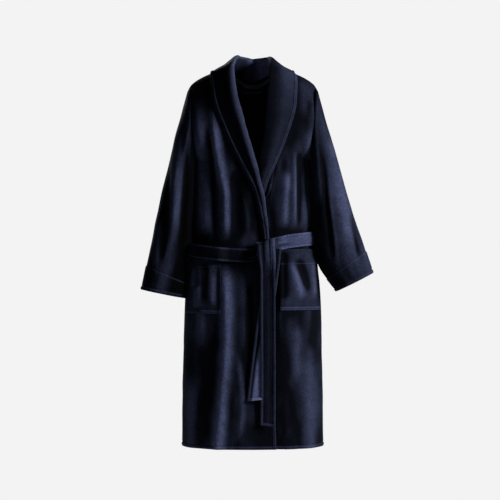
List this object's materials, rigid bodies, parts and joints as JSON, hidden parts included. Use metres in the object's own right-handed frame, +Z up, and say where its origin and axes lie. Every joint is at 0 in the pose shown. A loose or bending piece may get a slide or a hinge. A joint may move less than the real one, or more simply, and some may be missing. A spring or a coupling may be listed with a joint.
{
  "type": "bathrobe",
  "caption": "Knee-length plush wrap robe with shawl collar, set-in sleeves with cuffs, patch pockets and a tied belt with hanging tails.",
  "frame": {"origin": "centre plane, between the shoulders at the height of the neck base, where a clothes hanger or a wearer's shoulders carry the robe", "axes": "+Z up, -Y towards the robe's front, +X towards the wearer's left"},
  "size_m": [0.7159, 0.2752, 1.2204],
  "materials": {
    "body_plush": "dark navy coral-fleece plush with a short soft pile",
    "trim_plush": "the same navy plush, doubled and topstitched",
    "collar_plush": "the same navy plush with a stitched welt along its edge",
    "belt_plush": "the same navy plush, folded and stitched round its rim",
    "woven_tape": "narrow navy twill tape"
  },
  "bodies": {
    "robe": {"back_panel": "body_plush", "right_front": "body_plush", "left_front": "body_plush", "right_front_facing": "trim_plush", "left_front_facing": "trim_plush", "right_collar": "collar_plush", "left_collar": "collar_plush", "right_pocket": "body_plush", "left_pocket": "body_plush", "right_pocket_band": "trim_plush", "left_pocket_band": "trim_plush", "right_belt_loop": "belt_plush", "left_belt_loop": "belt_plush", "belt_waist": "belt_plush", "belt_knot": "belt_plush", "neck_tape": "woven_tape"},
    "right_arm": {"right_sleeve": "body_plush", "right_cuff": "trim_plush"},
    "left_arm": {"left_sleeve": "body_plush", "left_cuff": "trim_plush"},
    "long_tail": {"belt_tail_long": "belt_plush"},
    "short_tail": {"belt_tail_short": "belt_plush"},
    "loop": {"hanger_loop": "woven_tape"}
  },
  "joints": [
    {"name": "right_shoulder", "type": "hinge", "parent": "robe", "child": "right_arm", "pos_m": [-0.2015, 0, -0.025], "axis": [0, 1, 0], "range_deg": [0, 75]},
    {"name": "left_shoulder", "type": "hinge", "parent": "robe", "child": "left_arm", "pos_m": [0.2015, 0, -0.025], "axis": [0, -1, 0], "range_deg": [0, 75]},
    {"name": "long_tail_swing", "type": "hinge", "parent": "robe", "child": "long_tail", "pos_m": [0.0465, -0.1425, -0.5515], "axis": [-1, 0, 0], "range_deg": [0, 75]},
    {"name": "short_tail_sweep", "type": "hinge", "parent": "robe", "child": "short_tail", "pos_m": [0.0385, -0.1375, -0.55], "axis": [0, 1, 0], "range_deg": [0, 25]},
    {"name": "loop_flip", "type": "hinge", "parent": "robe", "child": "loop", "pos_m": [0, 0.0755, -0.006], "axis": [-1, 0, 0], "range_deg": [0, 140]}
  ]
}
